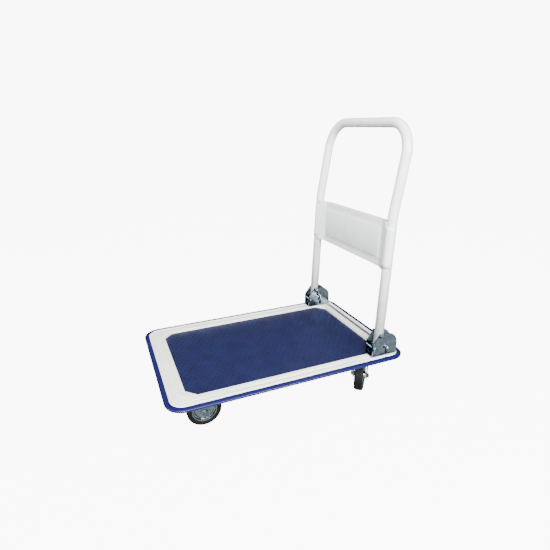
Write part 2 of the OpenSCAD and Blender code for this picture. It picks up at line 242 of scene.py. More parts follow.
def washer(bm, inner, outer, height, place):
    turned(bm, [(inner, 0), (outer - 0.2, 0), (outer, 0.2), (outer, height - 0.3), (outer - 0.3, height),
                (inner, height)], place)


def finish_mesh(name, bm, sharp):
    """Cleans a mesh, turns its faces outwards, sets its hard edges and scales it to metres."""
    bmesh.ops.remove_doubles(bm, verts=bm.verts, dist=0.0005)
    bmesh.ops.dissolve_degenerate(bm, dist=0.0001, edges=bm.edges)
    bmesh.ops.recalc_face_normals(bm, faces=bm.faces)
    limit = math.radians(sharp)
    for face in bm.faces:
        face.smooth = True
    for edge in bm.edges:
        edge.smooth = edge.calc_face_angle(0) < limit
    bmesh.ops.scale(bm, vec=(MM, MM, MM), verts=bm.verts)
    mesh = bpy.data.meshes.new(name)
    bm.to_mesh(mesh)
    bm.free()
    return mesh


def piece(name, bm, body, node, material, sharp=35, wall=0.0, edge=0.0):
    """Makes a finished piece that rides on a body and stands for a CAD node."""
    made = bpy.data.objects.new(name, finish_mesh(name, bm, sharp))
    bpy.context.scene.collection.objects.link(made)
    made.data.materials.append(material)
    if wall:
        shell = made.modifiers.new("wall", "SOLIDIFY")
        shell.thickness = wall * MM
        shell.offset = -1
    if edge:
        rounding = made.modifiers.new("edges", "BEVEL")
        rounding.width = edge * MM
        rounding.segments = 2
        rounding.limit_method = "ANGLE"
        rounding.angle_limit = math.radians(40)
        rounding.harden_normals = False
    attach(made, body)
    if node:
        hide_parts(node)
    return made


# ---- materials ----

def linear(value):
    """An sRGB hex colour as linear RGBA."""
    channels = [int(value[i:i + 2], 16) / 255 for i in (1, 3, 5)]
    return [c / 12.92 if c <= 0.04045 else ((c + 0.055) / 1.055) ** 2.4 for c in channels] + [1.0]


def add(tree, kind, inputs=None, **settings):
    """Adds a shader node with its settings; inputs gives each socket a value or another node's output."""
    made = tree.nodes.new("ShaderNode" + kind)
    for name, value in settings.items():
        setattr(made, name, value)
    for key, value in (inputs or {}).items():
        if isinstance(value, bpy.types.NodeSocket):
            tree.links.new(value, made.inputs[key])
        else:
            made.inputs[key].default_value = value
    return made


def new_material(name):
    """A new material, its node tree, its main shader and the object coordinates in millimetres."""
    made = bpy.data.materials.new(name)
    made.use_nodes = True
    tree = made.node_tree
    shader = tree.nodes["Principled BSDF"]
    place = add(tree, "TexCoord").outputs["Object"]
    scaled = add(tree, "VectorMath", {0: place, 1: (1 / MM,) * 3}, operation="MULTIPLY").outputs[0]
    return made, tree, shader, scaled


def noise(tree, place, size_mm, detail=3.0, roughness=0.5, stretch=None):
    """Value of a noise whose blots are size_mm across, drawn out by stretch along X, Y and Z."""
    if stretch:
        place = add(tree, "VectorMath", {0: place, 1: stretch}, operation="DIVIDE").outputs[0]
    return add(tree, "TexNoise", {"Vector": place, "Scale": 1 / size_mm, "Detail": detail,
                                  "Roughness": roughness}).outputs["Fac"]


def blend_colours(tree, amount, low, high, dark, light):
    """Colour that goes from dark to light as amount goes from low to high."""
    ramp = add(tree, "ValToRGB", {"Fac": amount})
    ramp.color_ramp.elements[0].position = low
    ramp.color_ramp.elements[0].color = linear(dark)
    ramp.color_ramp.elements[1].position = high
    ramp.color_ramp.elements[1].color = linear(light)
    return ramp.outputs["Color"]


def between(tree, amount, low, high):
    """Amount, spread from 0..1 over low..high."""
    return add(tree, "MapRange", {"Value": amount, "To Min": low, "To Max": high}).outputs["Result"]


def bump(tree, shader, height, depth_mm, strength=1.0):
    """Relief of depth_mm on the shader's surface."""
    made = add(tree, "Bump", {"Height": height, "Distance": depth_mm * MM, "Strength": strength})
    tree.links.new(made.outputs["Normal"], shader.inputs["Normal"])


def feed(tree, shader, **sockets):
    """Links or sets sockets of the shader, named with underscores for spaces."""
    for name, value in sockets.items():
        socket = shader.inputs[name.replace("_", " ")]
        if isinstance(value, bpy.types.NodeSocket):
            tree.links.new(value, socket)
        else:
            socket.default_value = value


def enamelled_steel():
    """Stoving enamel sprayed on pressed steel: an even satin cream with a faint orange peel."""
    made, tree, shader, place = new_material("enamelled_steel")
    cloud = noise(tree, place, 90, 2)
    peel = noise(tree, place, 2.2, 2)
    feed(tree, shader, Base_Color=blend_colours(tree, cloud, 0.3, 0.7, "#dcdcd6", "#e4e4df"),
         Roughness=between(tree, cloud, 0.32, 0.42), Coat_Weight=0.25, Coat_Roughness=0.12)
    bump(tree, shader, peel, 0.03, 0.5)
    return made


def powder_coat():
    """White powder coat baked on steel tube: glossier than the deck, with a finer, even orange peel."""
    made, tree, shader, place = new_material("powder_coated_steel")
    cloud = noise(tree, place, 70, 2)
    peel = noise(tree, place, 1.4, 2)
    feed(tree, shader, Base_Color=blend_colours(tree, cloud, 0.3, 0.7, "#e2e5e6", "#e9ebeb"),
         Roughness=between(tree, cloud, 0.24, 0.32), Coat_Weight=0.4, Coat_Roughness=0.08)
    bump(tree, shader, peel, 0.02, 0.5)
    return made


def calendered_vinyl(name, dark, light, gloss):
    """PVC sheet rolled between warm rollers: soft dark blue with a leathery grain that breaks its shine."""
    made, tree, shader, place = new_material(name)
    cloud = noise(tree, place, 45, 3)
    cells = add(tree, "TexVoronoi", {"Vector": place, "Scale": 1 / 1.6}, feature="SMOOTH_F1")
    grain = cells.outputs["Distance"]
    feed(tree, shader, Base_Color=blend_colours(tree, cloud, 0.3, 0.7, dark, light),
         Roughness=between(tree, cloud, gloss, gloss + 0.1), Specular_IOR_Level=0.25)
    bump(tree, shader, grain, 0.08, 0.6)
    return made


def extruded_pvc():
    """Ultramarine PVC pushed through a die: a glossy skin with faint draw lines along its length."""
    made, tree, shader, place = new_material("extruded_pvc")
    lines = noise(tree, place, 1.0, 2, stretch=(60.0, 60.0, 1.0))
    cloud = noise(tree, place, 60, 2)
    feed(tree, shader, Base_Color=blend_colours(tree, cloud, 0.3, 0.7, "#0a0a3a", "#0e0f44"),
         Roughness=between(tree, lines, 0.26, 0.38), Specular_IOR_Level=0.3)
    bump(tree, shader, lines, 0.02, 0.4)
    return made


def zinc_plate(name, dark, light, shine, grain=(1.0, 1.0, 1.0)):
    """Bright zinc plate with a blue passivate: mirror-like and slightly cloudy over the rolling lines."""
    made, tree, shader, place = new_material(name)
    cloud = noise(tree, place, 14, 4, 0.6)
    lines = noise(tree, place, 0.7, 3, stretch=grain)
    mixed = add(tree, "Math", {0: cloud, 1: lines}, operation="MULTIPLY").outputs[0]
    feed(tree, shader, Base_Color=blend_colours(tree, cloud, 0.35, 0.65, dark, light), Metallic=1.0,
         Roughness=between(tree, mixed, shine, shine + 0.22))
    bump(tree, shader, lines, 0.015, 0.4)
    return made


def drawn_bar():
    """Bright drawn steel bar, plated: fine lines run along it and spread its highlights."""
    made, tree, shader, place = new_material("bright_drawn_bar")
    lines = noise(tree, place, 0.5, 2, stretch=(1.0, 80.0, 1.0))
    feed(tree, shader, Base_Color=blend_colours(tree, lines, 0.3, 0.7, "#d3d9dd", "#e6eaec"), Metallic=1.0,
         Roughness=between(tree, lines, 0.24, 0.4))
    bump(tree, shader, lines, 0.01, 0.5)
    return made


def moulded_nylon():
    """Natural nylon from a mould: milky off-white, a little soft in its shine."""
    made, tree, shader, place = new_material("moulded_nylon")
    cloud = noise(tree, place, 8, 2)
    feed(tree, shader, Base_Color=blend_colours(tree, cloud, 0.3, 0.7, "#d2d1c8", "#dddcd4"),
         Roughness=between(tree, cloud, 0.4, 0.5), Subsurface_Weight=0.1, Subsurface_Scale=0.002)
    return made


def moulded_rubber():
    """Black rubber from a steel mould: dull and near black, with a fine spark-eroded texture."""
    made, tree, shader, place = new_material("moulded_rubber")
    cloud = noise(tree, place, 12, 4, 0.6)
    grit = noise(tree, place, 0.8, 3)
    feed(tree, shader, Base_Color=blend_colours(tree, cloud, 0.3, 0.7, "#030304", "#060607"),
         Roughness=between(tree, cloud, 0.55, 0.7), Specular_IOR_Level=0.2)
    bump(tree, shader, grit, 0.05, 0.5)
    return made


def studio_floor():
    """Matt studio paper: grey to the lights, so that it throws little back, and white to the camera."""
    made, tree, shader, place = new_material("studio_paper")
    cloud = noise(tree, place, 300, 2)
    seen = add(tree, "LightPath").outputs["Is Camera Ray"]
    feed(tree, shader, Base_Color=blend_colours(tree, cloud, 0.3, 0.7, "#747474", "#787878"), Roughness=0.9,
         Emission_Color=linear("#ffffff"), Emission_Strength=between(tree, seen, 0.0, 9.0))
    return made


ENAMEL = enamelled_steel()
POWDER = powder_coat()
VINYL = calendered_vinyl("calendered_vinyl", "#090e2e", "#0d1439", 0.55)
DOTS = calendered_vinyl("calendered_vinyl_dots", "#030517", "#060a21", 0.6)
PVC = extruded_pvc()
ZINC = zinc_plate("zinc_plated_sheet", "#697883", "#8897a1", 0.1, (12.0, 1.0, 1.0))
BOLTS = zinc_plate("zinc_plated_bolts", "#5f6b72", "#828d94", 0.18)
WIRE = zinc_plate("zinc_plated_spring_wire", "#8fa2b4", "#b5c4d2", 0.2)
RIMS = zinc_plate("zinc_plated_rims", "#707f86", "#98a4a9", 0.12)
DRAWN = drawn_bar()
NYLON = moulded_nylon()
RUBBER = moulded_rubber()


# ---- deck ----

ARC_STEPS = 8
LONG_STATIONS = [196, 192, 188, 146, 142, 138, 70, 0, -70, -138, -142, -146, -188, -192, -196]
SHORT_STATIONS = [150, 100, 50, 0, -50, -100, -150]
GROOVE_END, STEP_END = 142.0, 192.0          # where the long sides' pressed groove deepens and begins


def border_ring(half_x, half_y, corner, arc, height):
    """Ring of points round the deck, with round or cut corners, at a height that is a number or f(x, y)."""
    points = []
    for sx, sy in ((1, 1), (-1, 1), (-1, -1), (1, -1)):
        quarter = []
        for k in range(ARC_STEPS + 1):
            if arc:
                a = math.pi / 2 * k / ARC_STEPS
                from_x, from_y = corner * (1 - math.cos(a)), corner * (1 - math.sin(a))
            else:
                from_x, from_y = corner * k / ARC_STEPS, corner * (1 - k / ARC_STEPS)
            quarter.append((half_x - from_x, half_y - from_y))
        if sx * sy < 0:
            quarter.reverse()
        points += [(sx * x, sy * y) for x, y in quarter]
        if sx * sy > 0:
            points += [(sx * x, sy * half_y) for x in LONG_STATIONS]
        else:
            points += [(sx * half_x, -sx * y) for y in SHORT_STATIONS]
    raised = height if callable(height) else (lambda x, y: height)
    return [(x, y, border_z + raised(x, y)) for x, y in points]


def pressed(depth_middle, depth_step, depth_else):
    """Height of the groove: deep along the middle of the long sides, shallow at its ends, else fine."""
    def height(x, y):
        if abs(x) > STEP_END or abs(y) < seam_y - 40:
            return -depth_else
        return -depth_middle if abs(x) <= GROOVE_END else -depth_step
    return height


def sloped(ends):
    """Height that drops on the two end borders and stays level on the long sides."""
    return lambda x, y: -ends if abs(x) > mat_high.x + 1 else 0.0


def pressed_deck():
    """The deck: rolled edge, fine groove, pressed long sides, ridge round the mat and the recessed field."""
    def offset(inward, height):
        return border_ring(seam_x - inward, seam_y - inward, SEAM_R - inward, True, height)

    def octagon(beyond_x, beyond_y, cut, height):
        return border_ring(mat_high.x + beyond_x, mat_high.y + beyond_y, cut, False, height)

    rings = [offset(-2.0, -10.5), offset(-2.0, -9)]
    for k in range(7):
        a = math.radians(15 * k)
        rings.append(offset(6 - BEAD * math.cos(a), BEAD * (math.sin(a) - 1)))
    rings += [
        offset(8.5, pressed(0.0, 0.0, 0.0)),
        offset(10.5, pressed(0.5, 0.3, 0.1)),
        offset(12.6, pressed(1.1, 0.7, 1.3)),
        offset(14.6, pressed(1.7, 1.0, 1.3)),
        offset(16.4, pressed(2.2, 1.2, 0.1)),
        octagon(20.5, 17.5, 36, pressed(2.6, 1.4, 0.5)),
        octagon(18.5, 15.5, 34, pressed(1.5, 0.9, -0.2)),
        octagon(16.5, 12.6, 33, pressed(0.1, 0.1, 0.2)),
        octagon(5.0, 5.0, 29, sloped(1.2)),
        octagon(3.0, 3.0, 28.2, sloped(1.0)),
        octagon(1.5, 1.5, 27.6, sloped(1.2)),
        octagon(0.8, 0.8, 27.3, -2.2),
        octagon(0.7, 0.7, 27.3, mat_low.z - border_z + 0.8),
        octagon(-0.5, -0.5, 27, mat_low.z - border_z),
        octagon(-30, -30, 20, mat_low.z - border_z),
    ]
    bm = bmesh.new()
    inner = skin(bm, rings)
    bmesh.ops.edgeloop_fill(bm, edges=inner)
    piece("pressed_deck", bm, "platform", "deck_pan", ENAMEL, 28, wall=SHEET)


def vinyl_mat():
    """The mat: a sheet with cut corners and rounded edges, and its field of low round dots."""
    ends = [(1, 1, 0), (1, 1, 1), (-1, 1, 1), (-1, 1, 0), (-1, -1, 0), (-1, -1, 1), (1, -1, 1), (1, -1, 0)]
    cut = fillet([(sx * (mat_high.x - MAT_CUT * inner), sy * (mat_high.y - MAT_CUT * (1 - inner)), 2)
                  for sx, sy, inner in ends], 3)
    bm = bmesh.new()
    plate(bm, cut, mat_high.z - mat_low.z, at(0, 0, mat_low.z))
    piece("vinyl_mat", bm, "platform", "mat", VINYL, edge=0.6)
    dot_r, pitch, row_step = 3.2, 20.0, 13.0
    bm = bmesh.new()
    rows = int(mat_high.y // row_step)
    for j in range(-rows, rows + 1):
        for i in range(-int(mat_high.x // pitch) - 1, int(mat_high.x // pitch) + 2):
            x, y = (i + (j % 2) / 2) * pitch, j * row_step
            edge = abs(x) + abs(y) - (mat_high.x + mat_high.y - MAT_CUT)
            if abs(x) > mat_high.x - 4.5 or abs(y) > mat_high.y - 4.5 or edge > -6:
                continue
            spot = Matrix.Translation((x, y, mat_high.z + 0.15))
            bmesh.ops.create_cone(bm, cap_ends=True, segments=10, radius1=dot_r, radius2=dot_r - 0.8,
                                  depth=0.7, matrix=spot)
    piece("mat_dots", bm, "platform", None, DOTS, sharp=60)


def bumper_strip():
    """The bumper round the rim: a lip lapping onto the deck's edge, a rounded nose and a flat underside."""
    nose = 4.0
    out = bumper_high.x - seam_x
    level = 0.4 - nose
    profile = [(-1.4, -8.6), (-1.4, -7.1), (1.9, -7.1), (2.1, -4.5), (1.6, -1.2), (0.35, 0.5), (0.2, 1.4),
               (0.7, 1.7), (4.0, 1.5), (7.0, 1.0)]
    profile += [(out - nose + nose * math.sin(a), level + nose * math.cos(a))
                for a in (math.radians(15 * k) for k in range(13))]
    profile += [(7.5, level - nose - 0.15), (5.0, -8.55)]
    seam_z = border_z - 3.5
    drop = seam_z - border_z
    rings = [border_ring(seam_x + o, seam_y + o, SEAM_R + o, True, drop + z) for o, z in profile]
    bm = bmesh.new()
    skin(bm, [*rings, rings[0]])
    piece("bumper_strip", bm, "platform", "bumper", PVC, 40)


# ---- hinge brackets ----

def bracket_piece(side):
    """One U bracket: two cheeks with their release slots, bent out of one plate round its base."""
    length, height = bracket_high.x - bracket_low.x, bracket_high.z - bracket_low.z
    bend = 4.5
    slot_x = rod.x - bracket_low.x
    slot_r = 4.3
    top, bottom = rod.y - border_z, rod.y - border_z - 20
    outline = [Vector((0, bend)), Vector((length, bend))]
    outline += fillet([(0, bend, 0), (length, bend, 0), (length, height - 0.2, 35.5), (23, height, 5),
                       (0, height - 30, 5)], 10)[2:]
    slot_points = [Vector((slot_x + slot_r * math.cos(a), top + slot_r * math.sin(a)))
                   for a in (math.pi * k / 8 for k in range(9))]
    slot_points += [Vector((slot_x - slot_r * math.cos(a), bottom - slot_r * math.sin(a)))
                    for a in (math.pi * k / 8 for k in range(9))]
    bm = bmesh.new()
    upright = Matrix.Translation((0, -GAP, 0)) @ Matrix.Rotation(math.pi / 2, 4, "X")
    plate(bm, outline, CHEEK, upright, [slot_points])
    foot = [f for f in bm.faces if all(abs(v.co.z - bend) < 0.01 for v in f.verts)]
    rim = [e for e in bm.edges if e.link_faces and sum(f in foot for f in e.link_faces) == 1]
    bmesh.ops.delete(bm, geom=foot, context="FACES_ONLY")
    rim = turn(bm, rim, (0, bend - cheek_out, bend), (1, 0, 0), math.pi / 2, 6)
    run(bm, rim, (0, cheek_out - bend, 0))
    bmesh.ops.mirror(bm, geom=bm.verts[:] + bm.edges[:] + bm.faces[:], axis="Y", merge_dist=0.01)
    bmesh.ops.translate(bm, verts=bm.verts, vec=(bracket_low.x, SIDES[side] * LEG_Y, border_z))
    piece(f"{side}_hinge_bracket", bm, "platform", f"bracket_{side}", ZINC, edge=0.5)


def bracket_fixings():
    """Bolts that hold the brackets down, the stop pins and the handle's pivot bolts and nuts."""
    bm = bmesh.new()
    for s in SIDES.values():
        for dx in (20, 64):
            spot = (bracket_low.x + dx, s * LEG_Y)
            shaft(bm, 3, 12.4, at(*spot, border_z - 9.4))
            hexagon(bm, 10, 4, at(*spot, border_z + CHEEK), 3.6)
            hexagon(bm, 10, 5, at(*spot, border_z - SHEET, (0, 0, -1)))
    piece("bracket_screws", bm, "platform", "bracket_bolts", BOLTS)

    bm = bmesh.new()
    for s in SIDES.values():
        outer, inner = s * (LEG_Y + cheek_out), s * (LEG_Y - cheek_out)
        shaft(bm, 4, 2 * cheek_out + 10, at(pin.x, s * (LEG_Y - cheek_out - 5), pin.y, (0, s, 0)))
        hexagon(bm, 12, 5, at(pin.x, outer, pin.y, (0, s, 0)), 4.4)
        washer(bm, 3.9, 6, 3, at(pin.x, inner, pin.y, (0, -s, 0)))
    piece("stop_pin_pair", bm, "platform", "stop_pins", BOLTS)

    bm = bmesh.new()
    for s in SIDES.values():
        outer = s * (LEG_Y + cheek_out)
        shaft(bm, 5, 2 * cheek_out, at(pivot.x, outer, pivot.y, (0, -s, 0)))
        screw(bm, 5, 13, at(pivot.x, s * (LEG_Y - cheek_out), pivot.y, (0, -s, 0)))
        hexagon(bm, 15, 6, at(pivot.x, outer, pivot.y, (0, s, 0)), 5.6)
    piece("handle_pivot_bolts", bm, "platform", "pivot_bolts", BOLTS)

    bm = bmesh.new()
    for s in SIDES.values():
        place = at(pivot.x, s * (LEG_Y - cheek_out), pivot.y, (0, -s, 0))
        hexagon(bm, 15, 7, place)
    piece("handle_pivot_nuts", bm, "platform", "pivot_nuts", BOLTS)


def release_spring(side):
    """Close-wound extension spring with a hook at each end, from the pivot bolt down to the release rod."""
    wire, coil_r, hook_r, low_hook_r = 0.8, 3.4, 5.75, 5.2
    turns, steps_a_turn = 14, 14
    start = Vector((pivot.x, 0, pivot.y))
    along = Vector((rod.x, 0, rod.y)) - start
    span = along.length
    bm = bmesh.new()
    ring = bmesh.ops.create_circle(bm, segments=8, radius=wire)["verts"]
    start_of_hook = Matrix.Translation((0, -hook_r, 0)) @ Matrix.Rotation(math.pi / 2, 4, "Y")
    bmesh.ops.transform(bm, matrix=start_of_hook, verts=ring)
    edges = list({e for v in ring for e in v.link_edges})
    edges = turn(bm, edges, (0, 0, 0), (0, 0, 1), math.radians(300), 20)
    bmesh.ops.rotate(bm, verts=bm.verts, cent=(0, 0, 0), matrix=Matrix.Rotation(math.pi / 2, 3, "Y"))
    bmesh.ops.holes_fill(bm, edges=bm.edges)
    top_hook = bm.verts[:]
    # the second hook is the first one turned over at the rod
    copy = bmesh.ops.duplicate(bm, geom=bm.verts[:] + bm.edges[:] + bm.faces[:])["geom"]
    low_hook = only(bmesh.types.BMVert, copy)
    bmesh.ops.rotate(bm, verts=top_hook, cent=(0, 0, 0), matrix=Matrix.Rotation(math.pi / 2, 3, "Z"))
    bmesh.ops.scale(bm, vec=(low_hook_r / hook_r,) * 3, verts=low_hook)
    bmesh.ops.rotate(bm, verts=low_hook, cent=(0, 0, 0), matrix=Matrix.Rotation(-math.pi / 2, 3, "Z"))
    bmesh.ops.translate(bm, verts=low_hook, vec=(0, 0, span))
    for low, high in ((5.2, 11.0), (span - 10.4, span - 4.6)):
        shaft(bm, wire, high - low, at(0, 0, low), 0.1, 8)
    first, last = 10.0, span - 9.4
    ring = bmesh.ops.create_circle(bm, segments=8, radius=wire)["verts"]
    start_of_coil = Matrix.Translation((coil_r, 0, first)) @ Matrix.Rotation(math.pi / 2, 4, "X")
    bmesh.ops.transform(bm, matrix=start_of_coil, verts=ring)
    edges = list({e for v in ring for e in v.link_edges})
    steps = steps_a_turn * turns
    end = turn(bm, edges, (0, 0, 0), (0, 0, 1), 2 * math.pi * turns, steps, (0, 0, (last - first) / steps))
    bmesh.ops.edgeloop_fill(bm, edges=edges)
    bmesh.ops.edgeloop_fill(bm, edges=end)
    lean = Matrix.Rotation(math.atan2(along.x, along.z), 4, "Y")
    place = Matrix.Translation((start.x, SIDES[side] * (LEG_Y - cheek_out - 10), start.z)) @ lean
    bmesh.ops.transform(bm, matrix=place, verts=bm.verts)
    piece(f"{side}_release_spring", bm, "platform", f"spring_{side}", WIRE, 60)


def release_bar():
    """The rod across both brackets and its washers and nuts."""
    bm = bmesh.new()
    half = rod_high.y
    shaft(bm, 4, 2 * (half - 8), at(rod.x, 8 - half, rod.y, (0, 1, 0)), 0.3)
    for s in SIDES.values():
        screw(bm, 4, 9.2, at(rod.x, s * (half - 9.2), rod.y, (0, s, 0)))
    piece("release_bar_rod", bm, "release_bar", "release_rod", DRAWN)
    bm = bmesh.new()
    near = cheek_out + 0.5
    for s in SIDES.values():
        for way in (1, -1):
            washer(bm, 3.9, 8, 1.2, at(rod.x, s * LEG_Y + way * near, rod.y, (0, way, 0)))
            hexagon(bm, 13, 5, at(rod.x, s * LEG_Y + way * (near + 1.2), rod.y, (0, way, 0)))
    piece("release_bar_nuts", bm, "release_bar", "release_nuts", BOLTS)


# ---- handle ----

def lean_dir(angle):
    return Vector((math.sin(angle), 0, math.cos(angle)))


def bent_handle():
    """The handle: one tube run up, leaned back, round the top and down again."""
    low, top = lean_dir(lean_low), lean_dir(lean_top)
    cut = BEND_R * math.tan((lean_top - lean_low) / 2)
    foot = Vector((pivot.x, -LEG_Y, pivot.y)) - low * BELOW
    knee = Vector((BEND.x, -LEG_Y, BEND.y))
    crown = Vector((bar.x, -LEG_Y, bar.y))
    across = Vector((0, 1, 0))
    out = Vector((math.cos(lean_low), 0, -math.sin(lean_low)))
    bm = bmesh.new()
    ring = bmesh.ops.create_circle(bm, segments=40, radius=TUBE_R)["verts"]
    bmesh.ops.transform(bm, matrix=at(*foot, low), verts=ring)
    edges = list({e for v in ring for e in v.link_edges})
    bend_centre = knee - low * cut + out * BEND_R
    axis = top.cross(across)
    edges = run(bm, edges, (knee - low * cut) - foot)
    edges = turn(bm, edges, bend_centre, across, lean_top - lean_low, 5)
    straight = (crown - knee).length - cut - CORNER_R
    edges = run(bm, edges, top * straight)
    corner = crown - top * CORNER_R
    edges = turn(bm, edges, corner + across * CORNER_R, axis, math.pi / 2, 20)
    edges = run(bm, edges, across * 2 * (LEG_Y - CORNER_R))
    corner.y = -corner.y
    edges = turn(bm, edges, corner - across * CORNER_R, axis, math.pi / 2, 20)
    edges = run(bm, edges, -top * straight)
    bend_centre.y = -bend_centre.y
    edges = turn(bm, edges, bend_centre, across, lean_low - lean_top, 5)
    run(bm, edges, foot - (knee - low * cut))
    piece("bent_handle_tube", bm, "handle", "handle_tube", POWDER, 60, wall=TUBE_WALL)


def pressed_panel():
    """Handle panel: a pressed field, flanges folded back and ends that ramp forward round the tubes."""
    wrap_r = TUBE_R + 0.05 + PANEL_T
    face_x, ramp_y, field_y, notch_y = 3.4, 158.0, 152.0, 191.0
    half = [(face_x, y, y < field_y) for y in (0, 60, 120, 146, 151)]
    half += [(face_x, 155, False), (face_x - 0.2, ramp_y - 1, False), (face_x - 1.4, ramp_y + 2.4, False)]
    last_a = math.radians(204.6)
    ramp_end = Vector((wrap_r * math.cos(last_a), LEG_Y + wrap_r * math.sin(last_a)))
    ramp_start = Vector((face_x, ramp_y))
    for share in (0.3, 0.6, 0.9):
        p = ramp_start.lerp(ramp_end, share)
        half.append((p.x, p.y, False))
    for k in range(15):
        a = last_a - (last_a - math.pi / 2) * k / 14
        half.append((wrap_r * math.cos(a), LEG_Y + wrap_r * math.sin(a), False))
    section = [(x, -y, pressed_here) for x, y, pressed_here in reversed(half[1:])] + half
    raise_by = 3.0
    rows = [(11.0, 0.5, 0), (3.0, 0.5, 0), (1.2, 1.0, 0), (0.3, 2.2, 0), (0, 4, 0), (0, 10, 0), (0, 24, 0),
            (0, 25.2, 0.35), (0, 28.8, 1), (0, 70, 1), (0, PANEL_H - 28.8, 1), (0, PANEL_H - 25.2, 0.35),
            (0, PANEL_H - 24, 0), (0, PANEL_H - 10, 0), (0, PANEL_H - 4, 0), (0.3, PANEL_H - 2.2, 0),
            (1.2, PANEL_H - 1.0, 0), (3.0, PANEL_H - 0.5, 0), (11.0, PANEL_H - 0.5, 0)]
    rings = []
    for back, z, lift in rows:
        rings.append([(x + back - (raise_by * lift if in_field else 0), y, z) for x, y, in_field in section])
    bm = bmesh.new()
    skin(bm, rings, closed=False)

    def outside(face):
        centre = face.calc_center_median()
        beyond = abs(centre.y) > notch_y
        return beyond and not 10 < centre.z < PANEL_H - 10

    bmesh.ops.delete(bm, geom=[f for f in bm.faces if outside(f)], context="FACES")
    place = Matrix.Translation((pivot.x, 0, pivot.y)) @ Matrix.Rotation(lean_low, 4, "Y")
    bmesh.ops.transform(bm, matrix=place @ Matrix.Translation((0, 0, PANEL_FOOT)), verts=bm.verts)
    piece("pressed_handle_panel", bm, "handle", "handle_panel", POWDER, 50, wall=PANEL_T)


# ---- casters ----

def fork_leg(bm, half_top, axle_x, top_z, y, place):
    """One leg of a fork: wide at the top and round at the axle."""
    axle_z, round_r = joint_at["front_left_spin"].z, 13.0
    low, high = half_top
    outline = [Vector((low, top_z)), Vector((axle_x - 12.7, axle_z + 3))]
    outline += [Vector((axle_x - round_r * math.cos(a), axle_z - round_r * math.sin(a)))
                for a in (math.pi * k / 14 for k in range(15))]
    outline += [Vector((axle_x + 12.7, axle_z + 3)), Vector((high, top_z))]
    upright = Matrix.Translation((0, y, 0)) @ Matrix.Rotation(math.pi / 2, 4, "X")
    plate(bm, outline, LEG_T, place @ upright)


def mounting_plate(bm, place, top):
    """Rectangular top plate with rounded corners, 2.5 mm thick."""
    outline = fillet([(48, 33, 7), (-48, 33, 7), (-48, -33, 7), (48, -33, 7)])
    plate(bm, outline, LEG_T, place @ Matrix.Translation((0, 0, top - LEG_T)),
          [circle_points(x, y, BOLT_R + 0.2, 16) for x in (-BOLT_DX, BOLT_DX) for y in (-BOLT_DY, BOLT_DY)])


def front_fork(side):
    """Fixed fork: a plate with two legs folded down from it."""
    spot = joint_at[f"front_{side}_spin"]
    place = Matrix.Translation((spot.x, spot.y, 0))
    bm = bmesh.new()
    mounting_plate(bm, place, plate_high.z)
    for y in (LEG_OUT, -LEG_IN):
        fork_leg(bm, (-26, 26), 0, plate_high.z - LEG_T, y, place)
    piece(f"front_{side}_fixed_fork", bm, "platform", f"front_{side}_fork", ZINC, edge=0.5)


def swivel_place(side):
    """Frame of a swivel, with +X along its trail."""
    spot = joint_at[f"rear_{side}_turn"]
    wheel = joint_at[f"rear_{side}_spin"]
    yaw = math.atan2(wheel.y - spot.y, wheel.x - spot.x)
    return Matrix.Translation((spot.x, spot.y, 0)) @ Matrix.Rotation(yaw, 4, "Z")


def swivel_caster(side):
    """Swivel: the fixed plate with its pressed cup, the kingpin, the ball race and the fork under it."""
    pin_foot, nut_top, crown_foot, race_foot = 102.0, 106.0, 106.5, 109.5
    spot = joint_at[f"rear_{side}_turn"]
    fixed = Matrix.Translation((spot.x, spot.y, 0))
    bm = bmesh.new()
    mounting_plate(bm, fixed, plate_high.z)
    cup_foot = plate_low.z
    cup = [(19, 5.5), (19, 0.8), (19.8, 0), (24, 0), (25, 1), (25, 5.5)]
    turned(bm, [(r, cup_foot + h) for r, h in cup], fixed)
    piece(f"rear_{side}_swivel_plate", bm, "platform", f"rear_{side}_plate", ZINC, edge=0.4)

    bm = bmesh.new()
    shaft(bm, 6, plate_high.z - pin_foot, fixed @ Matrix.Translation((0, 0, pin_foot)))
    washer(bm, 5.9, 9, 6, fixed @ Matrix.Translation((0, 0, plate_high.z - 8.5)))
    hexagon(bm, 16, 7, at(spot.x, spot.y, nut_top, (0, 0, -1)), 6.5)
    piece(f"rear_{side}_swivel_pin", bm, "platform", f"rear_{side}_kingpin", BOLTS)

    moving = swivel_place(side)
    bm = bmesh.new()
    race = [(19, 0), (27, 0), (28, 1), (28, 2.5), (27.2, 3.1), (27.2, 3.7), (28, 4.3), (28, 5.1),
            (27.2, 6), (19, 6)]
    turned(bm, [(r, race_foot + h) for r, h in race], moving, 48)
    piece(f"rear_{side}_ball_race", bm, f"rear_{side}_swivel", f"rear_{side}_race", ZINC)

    bm = bmesh.new()
    crown = fillet([(0, 28, 20), (-28, 28, 20), (-28, -28, 20), (0, -28, 20), (30, -22, 4), (30, 22, 4)], 10)
    plate(bm, crown, 3, moving @ Matrix.Translation((0, 0, crown_foot)), [circle_points(0, 0, BORE_R)])
    for y in (LEG_OUT, -LEG_IN):
        fork_leg(bm, (-14, 30), trail, race_foot - 0.1, y, moving)
    piece(f"rear_{side}_swivel_fork", bm, f"rear_{side}_swivel", f"rear_{side}_fork", ZINC,
          edge=0.5)


